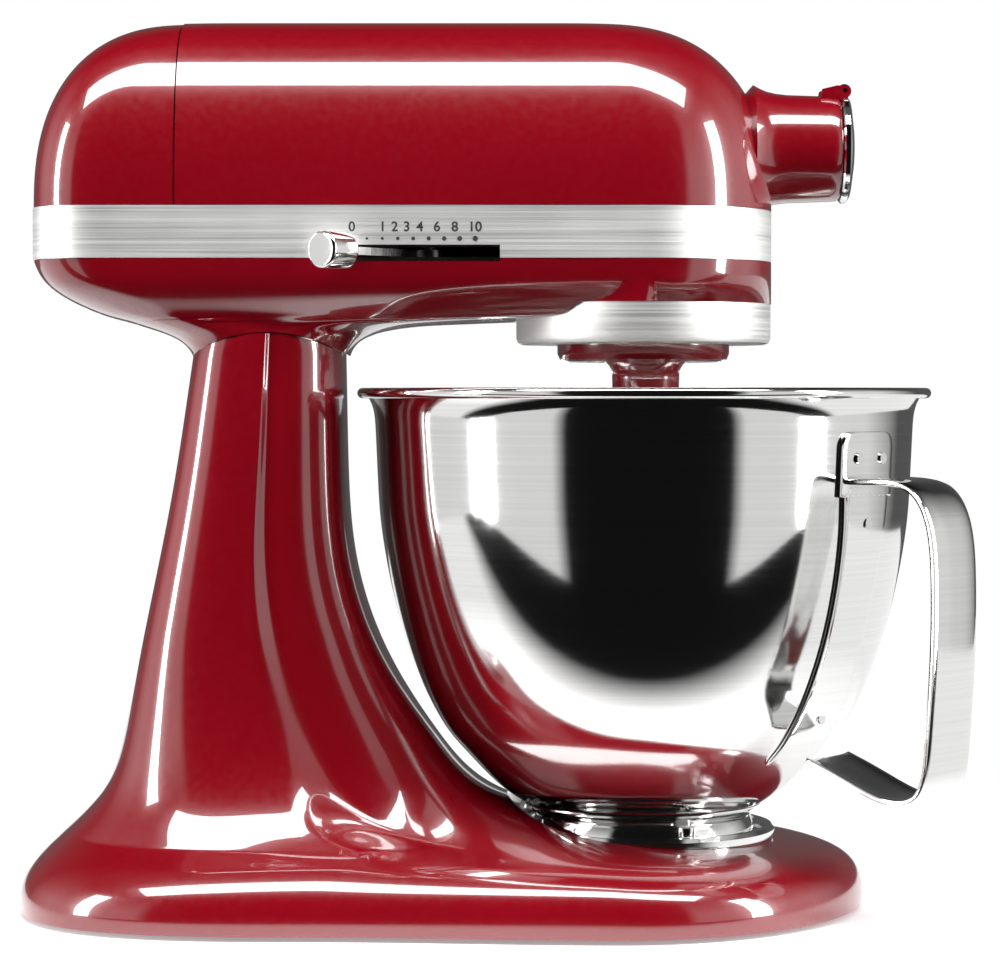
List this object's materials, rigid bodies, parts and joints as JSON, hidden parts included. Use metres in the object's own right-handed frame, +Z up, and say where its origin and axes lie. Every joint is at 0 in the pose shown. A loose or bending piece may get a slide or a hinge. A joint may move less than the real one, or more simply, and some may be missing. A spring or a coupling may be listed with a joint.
{
  "type": "stand mixer",
  "caption": "Tilt-head stand mixer with a flared base, planetary drive, steel bowl with a strap handle and a hinged attachment hub.",
  "frame": {"origin": "middle of the whole mixer's bounding box, on the table surface under the feet", "axes": "+X towards the attachment hub, +Y towards the lock lever's side, +Z up"},
  "size_m": [0.3285, 0.2032, 0.3116],
  "materials": {
    "red_enamel": "gloss enamel",
    "polished_steel": "polished",
    "brushed_trim": "brushed",
    "chrome": "mirror",
    "machine_steel": "machined",
    "bronze": "machined",
    "copper": "enamelled wire",
    "laminations": "bare laminations",
    "cast_aluminium": "as cast",
    "coated_beater": "white coating",
    "black_plastic": "matt",
    "circuit_board": "satin",
    "black_rubber": "matt"
  },
  "bodies": {
    "base": {"base_casting": "red_enamel", "pedestal_casting": "red_enamel", "rubber_feet": "black_rubber", "foot_screws": "machine_steel", "hinge_pin": "machine_steel", "lock_keeper": "machine_steel", "bowl_clamp_plate": "polished_steel", "clamp_plate_screws": "machine_steel"},
    "bowl": {"bowl_shell": "polished_steel", "bowl_foot_ring": "polished_steel", "bowl_handle": "polished_steel"},
    "head": {"gear_case": "red_enamel", "motor_housing": "red_enamel", "hub_barrel": "red_enamel", "end_cover": "red_enamel", "end_cover_screw": "machine_steel", "trim_band": "brushed_trim", "slot_guide": "black_plastic", "drip_ring": "brushed_trim", "ring_gear": "machine_steel", "shaft_bearing": "bronze", "gear_bracket": "cast_aluminium", "pinion_bearing": "cast_aluminium", "motor_stator": "laminations", "field_coils": "copper", "brush_holders": "black_plastic", "rear_armature_bearing": "bronze", "front_armature_bearing": "bronze", "rear_motor_bracket": "cast_aluminium", "front_motor_bracket": "cast_aluminium", "speed_control_board": "circuit_board", "cord_gland": "black_rubber", "hub_bushing": "bronze", "speed_lever_post": "machine_steel", "hub_cover_pin": "machine_steel"},
    "hub_cover": {"hub_cover": "chrome"},
    "planetary": {"planetary_hub": "red_enamel", "vertical_drive_shaft": "machine_steel", "centre_gear": "machine_steel", "centre_bevel": "machine_steel", "planetary_pin": "machine_steel"},
    "agitator": {"agitator_shaft": "machine_steel", "agitator_pinion": "machine_steel", "agitator_pin": "machine_steel", "agitator_spring": "machine_steel", "flat_beater": "coated_beater"},
    "worm_wheel": {"worm_wheel": "bronze", "pinion_shaft": "machine_steel"},
    "armature": {"armature_shaft": "machine_steel", "armature_core": "laminations", "commutator": "copper", "cooling_fan": "black_plastic"},
    "hub_drive": {"hub_drive_shaft": "machine_steel", "hub_bevel": "machine_steel"},
    "speed_lever": {"speed_lever_arm": "machine_steel", "speed_knob": "chrome"},
    "lock_lever": {"lock_shaft": "machine_steel", "lock_knob": "chrome"},
    "clamp_screw": {"clamp_screw": "machine_steel"},
    "attachment_knob": {"attachment_knob": "black_plastic"}
  },
  "joints": [
    {"name": "head_tilt", "type": "hinge", "parent": "base", "child": "head", "pos_m": [-0.0759, 0, 0.1506], "axis": [0, -1, 0], "range_deg": [0, 45]},
    {"name": "bowl_twist", "type": "hinge", "parent": "base", "child": "bowl", "pos_m": [0.0555, 0, 0.025], "axis": [0, 0, 1], "range_deg": [0, 30]},
    {"name": "planetary_spin", "type": "hinge", "parent": "head", "child": "planetary", "pos_m": [0.0555, 0, 0.198], "axis": [0, 0, 1], "continuous": true},
    {"name": "agitator_spin", "type": "hinge", "parent": "planetary", "child": "agitator", "pos_m": [0.0555, -0.0195, 0.18], "axis": [0, 0, 1], "continuous": true},
    {"name": "worm_wheel_spin", "type": "hinge", "parent": "head", "child": "worm_wheel", "pos_m": [0.03135, 0.021, 0.266], "axis": [0, 0, 1], "continuous": true},
    {"name": "armature_spin", "type": "hinge", "parent": "head", "child": "armature", "pos_m": [-0.07, 0, 0.27], "axis": [1, 0, 0], "continuous": true},
    {"name": "hub_drive_spin", "type": "hinge", "parent": "head", "child": "hub_drive", "pos_m": [0.075, 0, 0.2675], "axis": [1, 0, 0], "continuous": true},
    {"name": "hub_cover_swing", "type": "hinge", "parent": "head", "child": "hub_cover", "pos_m": [0.1264, 0, 0.2878], "axis": [0, -1, 0], "range_deg": [0, 110]},
    {"name": "speed_lever_swing", "type": "hinge", "parent": "head", "child": "speed_lever", "pos_m": [-0.0204, -0.02, 0.2293], "axis": [0, 0, 1], "range_deg": [0, 78]},
    {"name": "lock_lever_swing", "type": "hinge", "parent": "head", "child": "lock_lever", "pos_m": [-0.06989, 0.02, 0.20778], "axis": [0, -1, 0], "range_deg": [0, 75]},
    {"name": "clamp_screw_travel", "type": "slide", "parent": "head", "child": "clamp_screw", "axis": [0, 1, 0], "range_m": [0, 0.003]},
    {"name": "attachment_knob_turn", "type": "hinge", "parent": "clamp_screw", "child": "attachment_knob", "pos_m": [0.108, 0.025, 0.2675], "axis": [0, 1, 0], "range_deg": [0, 720]}
  ],
  "couplings": [
    {"joint": "agitator_spin", "follows": "planetary_spin", "ratio": -2.8571},
    {"joint": "worm_wheel_spin", "follows": "planetary_spin", "ratio": -3},
    {"joint": "armature_spin", "follows": "planetary_spin", "ratio": 72},
    {"joint": "hub_drive_spin", "follows": "planetary_spin", "ratio": 1},
    {"joint": "attachment_knob_turn", "follows": "clamp_screw_travel", "rad_per_m": 4188.8}
  ]
}
